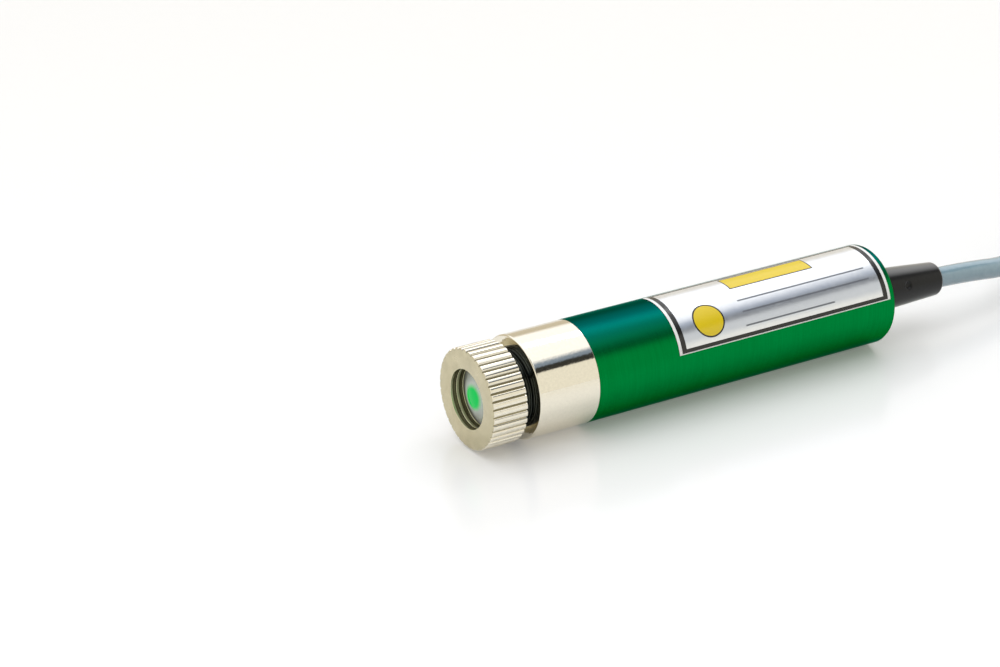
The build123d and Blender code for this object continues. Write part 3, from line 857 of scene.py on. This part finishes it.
ferrules = new_piece("crimped_ferrules", ferrule_shape, tinned_copper, "tinned_copper", "housing",
                     "wire_ferrules")

# Floor
# Glossy card, wide enough to fill every view, with a soft shadow and a faint mirror image. It is grey, so
# that little light comes back from below, but the camera, metal and glass see it white and a little lit.

floor_half_width = 3.0
card_white_share = 0.12

floor_shape = bmesh.new()
bmesh.ops.create_grid(floor_shape, x_segments=1, y_segments=1, size=floor_half_width)
floor_mesh = bpy.data.meshes.new("floor")
floor_shape.to_mesh(floor_mesh)
floor_shape.free()
floor = bpy.data.objects.new("floor", floor_mesh)
bpy.context.scene.collection.objects.link(floor)
floor_card = finish("floor_card", paint(158, 160, 164), paint(162, 164, 168), 0, (0.16, 0.2), 300)
card_tree = floor_card.node_tree
card_sight = card_tree.nodes.new("ShaderNodeLightPath")
card_seen = card_sight.outputs["Is Camera Ray"]
for kind in ("Is Glossy Ray", "Is Transmission Ray"):
    either = card_tree.nodes.new("ShaderNodeMath")
    either.operation = "MAXIMUM"
    card_tree.links.new(card_seen, either.inputs[0])
    card_tree.links.new(card_sight.outputs[kind], either.inputs[1])
    card_seen = either.outputs["Value"]
washed(floor_card, card_seen, paint(252, 252, 252))
card_lit = card_tree.nodes.new("ShaderNodeMath")
card_lit.operation = "MULTIPLY"
card_lit.inputs[1].default_value = card_white_share
card_white = card_tree.nodes.new("ShaderNodeEmission")
card_mix = card_tree.nodes.new("ShaderNodeMixShader")
card_tree.links.new(card_seen, card_lit.inputs[0])
card_tree.links.new(card_lit.outputs["Value"], card_mix.inputs[0])
card_tree.links.new(card_tree.nodes["Principled BSDF"].outputs["BSDF"], card_mix.inputs[1])
card_tree.links.new(card_white.outputs["Emission"], card_mix.inputs[2])
card_tree.links.new(card_mix.outputs["Shader"], card_tree.nodes["Material Output"].inputs["Surface"])
floor_mesh.materials.append(floor_card)

# Light
# A white cloth tent with a dark seam and a grey panel on the camera's side, warm low down. One wide soft
# lamp hangs above and behind, and the camera sees plain white through the tent.

crease_scale, crease_height = 30, 0.05
corner_width = 0.05

tent = bpy.data.worlds.new("tent")
tent.use_nodes = True
bpy.context.scene.world = tent
tent_tree = tent.node_tree
tent_light = tent_tree.nodes["Background"]
direction = tent_tree.nodes.new("ShaderNodeTexCoord")
direction_axes = tent_tree.nodes.new("ShaderNodeSeparateXYZ")
tent_tree.links.new(direction.outputs["Generated"], direction_axes.inputs["Vector"])
creases = tent_tree.nodes.new("ShaderNodeTexNoise")
creases.inputs["Scale"].default_value = crease_scale
tent_tree.links.new(direction.outputs["Generated"], creases.inputs["Vector"])
uneven_height = tent_tree.nodes.new("ShaderNodeMath")
uneven_height.operation = "MULTIPLY_ADD"
uneven_height.inputs[1].default_value = crease_height
tent_tree.links.new(creases.outputs["Fac"], uneven_height.inputs[0])
tent_tree.links.new(direction_axes.outputs["Z"], uneven_height.inputs[2])


def tent_side(stops):
    """Colours of one side of the tent, by the height of the direction."""
    ramp = tent_tree.nodes.new("ShaderNodeValToRGB")
    colours = ramp.color_ramp
    while len(colours.elements) < len(stops):
        colours.elements.new(0.5)
    for element, (height, colour) in zip(colours.elements, stops):
        element.position, element.color = height, (*colour, 1)
    tent_tree.links.new(uneven_height.outputs["Value"], ramp.inputs["Fac"])
    return ramp.outputs["Color"]


white, cream, beige = (1.32, 1.33, 1.36), (0.98, 0.95, 0.85), (0.7, 0.63, 0.5)
hem, seam, panel = (0.5, 0.47, 0.4), (0.04, 0.04, 0.036), (0.26, 0.33, 0.44)
camera_side = tent_side([(0.0, hem), (0.03, cream), (0.62, cream), (0.635, seam), (0.745, seam),
                         (0.755, panel), (0.8, panel), (0.85, white)])
far_side = tent_side([(0.0, beige), (0.36, beige), (0.5, white)])
side_of = tent_tree.nodes.new("ShaderNodeMapRange")
side_of.inputs["From Min"].default_value = -corner_width
side_of.inputs["From Max"].default_value = corner_width
tent_tree.links.new(direction_axes.outputs["Y"], side_of.inputs["Value"])
sides = tent_tree.nodes.new("ShaderNodeMix")
sides.data_type = "RGBA"
tent_tree.links.new(side_of.outputs["Result"], sides.inputs[0])
tent_tree.links.new(far_side, sides.inputs[6])
tent_tree.links.new(camera_side, sides.inputs[7])
sight = tent_tree.nodes.new("ShaderNodeLightPath")
backdrop = tent_tree.nodes.new("ShaderNodeMix")
backdrop.data_type = "RGBA"
backdrop.inputs[7].default_value = (1, 1, 1, 1)
tent_tree.links.new(sight.outputs["Is Camera Ray"], backdrop.inputs[0])
tent_tree.links.new(sides.outputs[2], backdrop.inputs[6])
tent_tree.links.new(backdrop.outputs[2], tent_light.inputs["Color"])

lamp_data = bpy.data.lights.new("lamp", "AREA")
lamp_data.shape, lamp_data.size, lamp_data.size_y = "RECTANGLE", 0.5, 0.12
lamp_data.energy = 0.6
lamp_data.color = (0.94, 0.98, 1)
lamp = bpy.data.objects.new("lamp", lamp_data)
bpy.context.scene.collection.objects.link(lamp)
lamp.location = (-0.48, -0.33, 0.82)
lamp.rotation_euler = (-lamp.location).to_track_quat("-Z", "Y").to_euler()

# Camera
# A long lens on a full-frame camera, in front of the module on the label's side and a little above it.
# Its place was fitted to the barrel's outline.

camera_data = bpy.data.cameras.new("camera")
camera_data.lens, camera_data.sensor_width = 98.34, 36
camera = bpy.data.objects.new("camera", camera_data)
bpy.context.scene.collection.objects.link(camera)
camera.location = (0.23027, 0.30833, 0.18112)
yaw, pitch = math.radians(58.1146), math.radians(24.2931)
sight_line = Vector((-math.cos(yaw) * math.cos(pitch), -math.sin(yaw) * math.cos(pitch), -math.sin(pitch)))
camera.rotation_euler = sight_line.to_track_quat("-Z", "Y").to_euler()
bpy.context.scene.camera = camera
bpy.context.scene.view_settings.view_transform = "Standard"
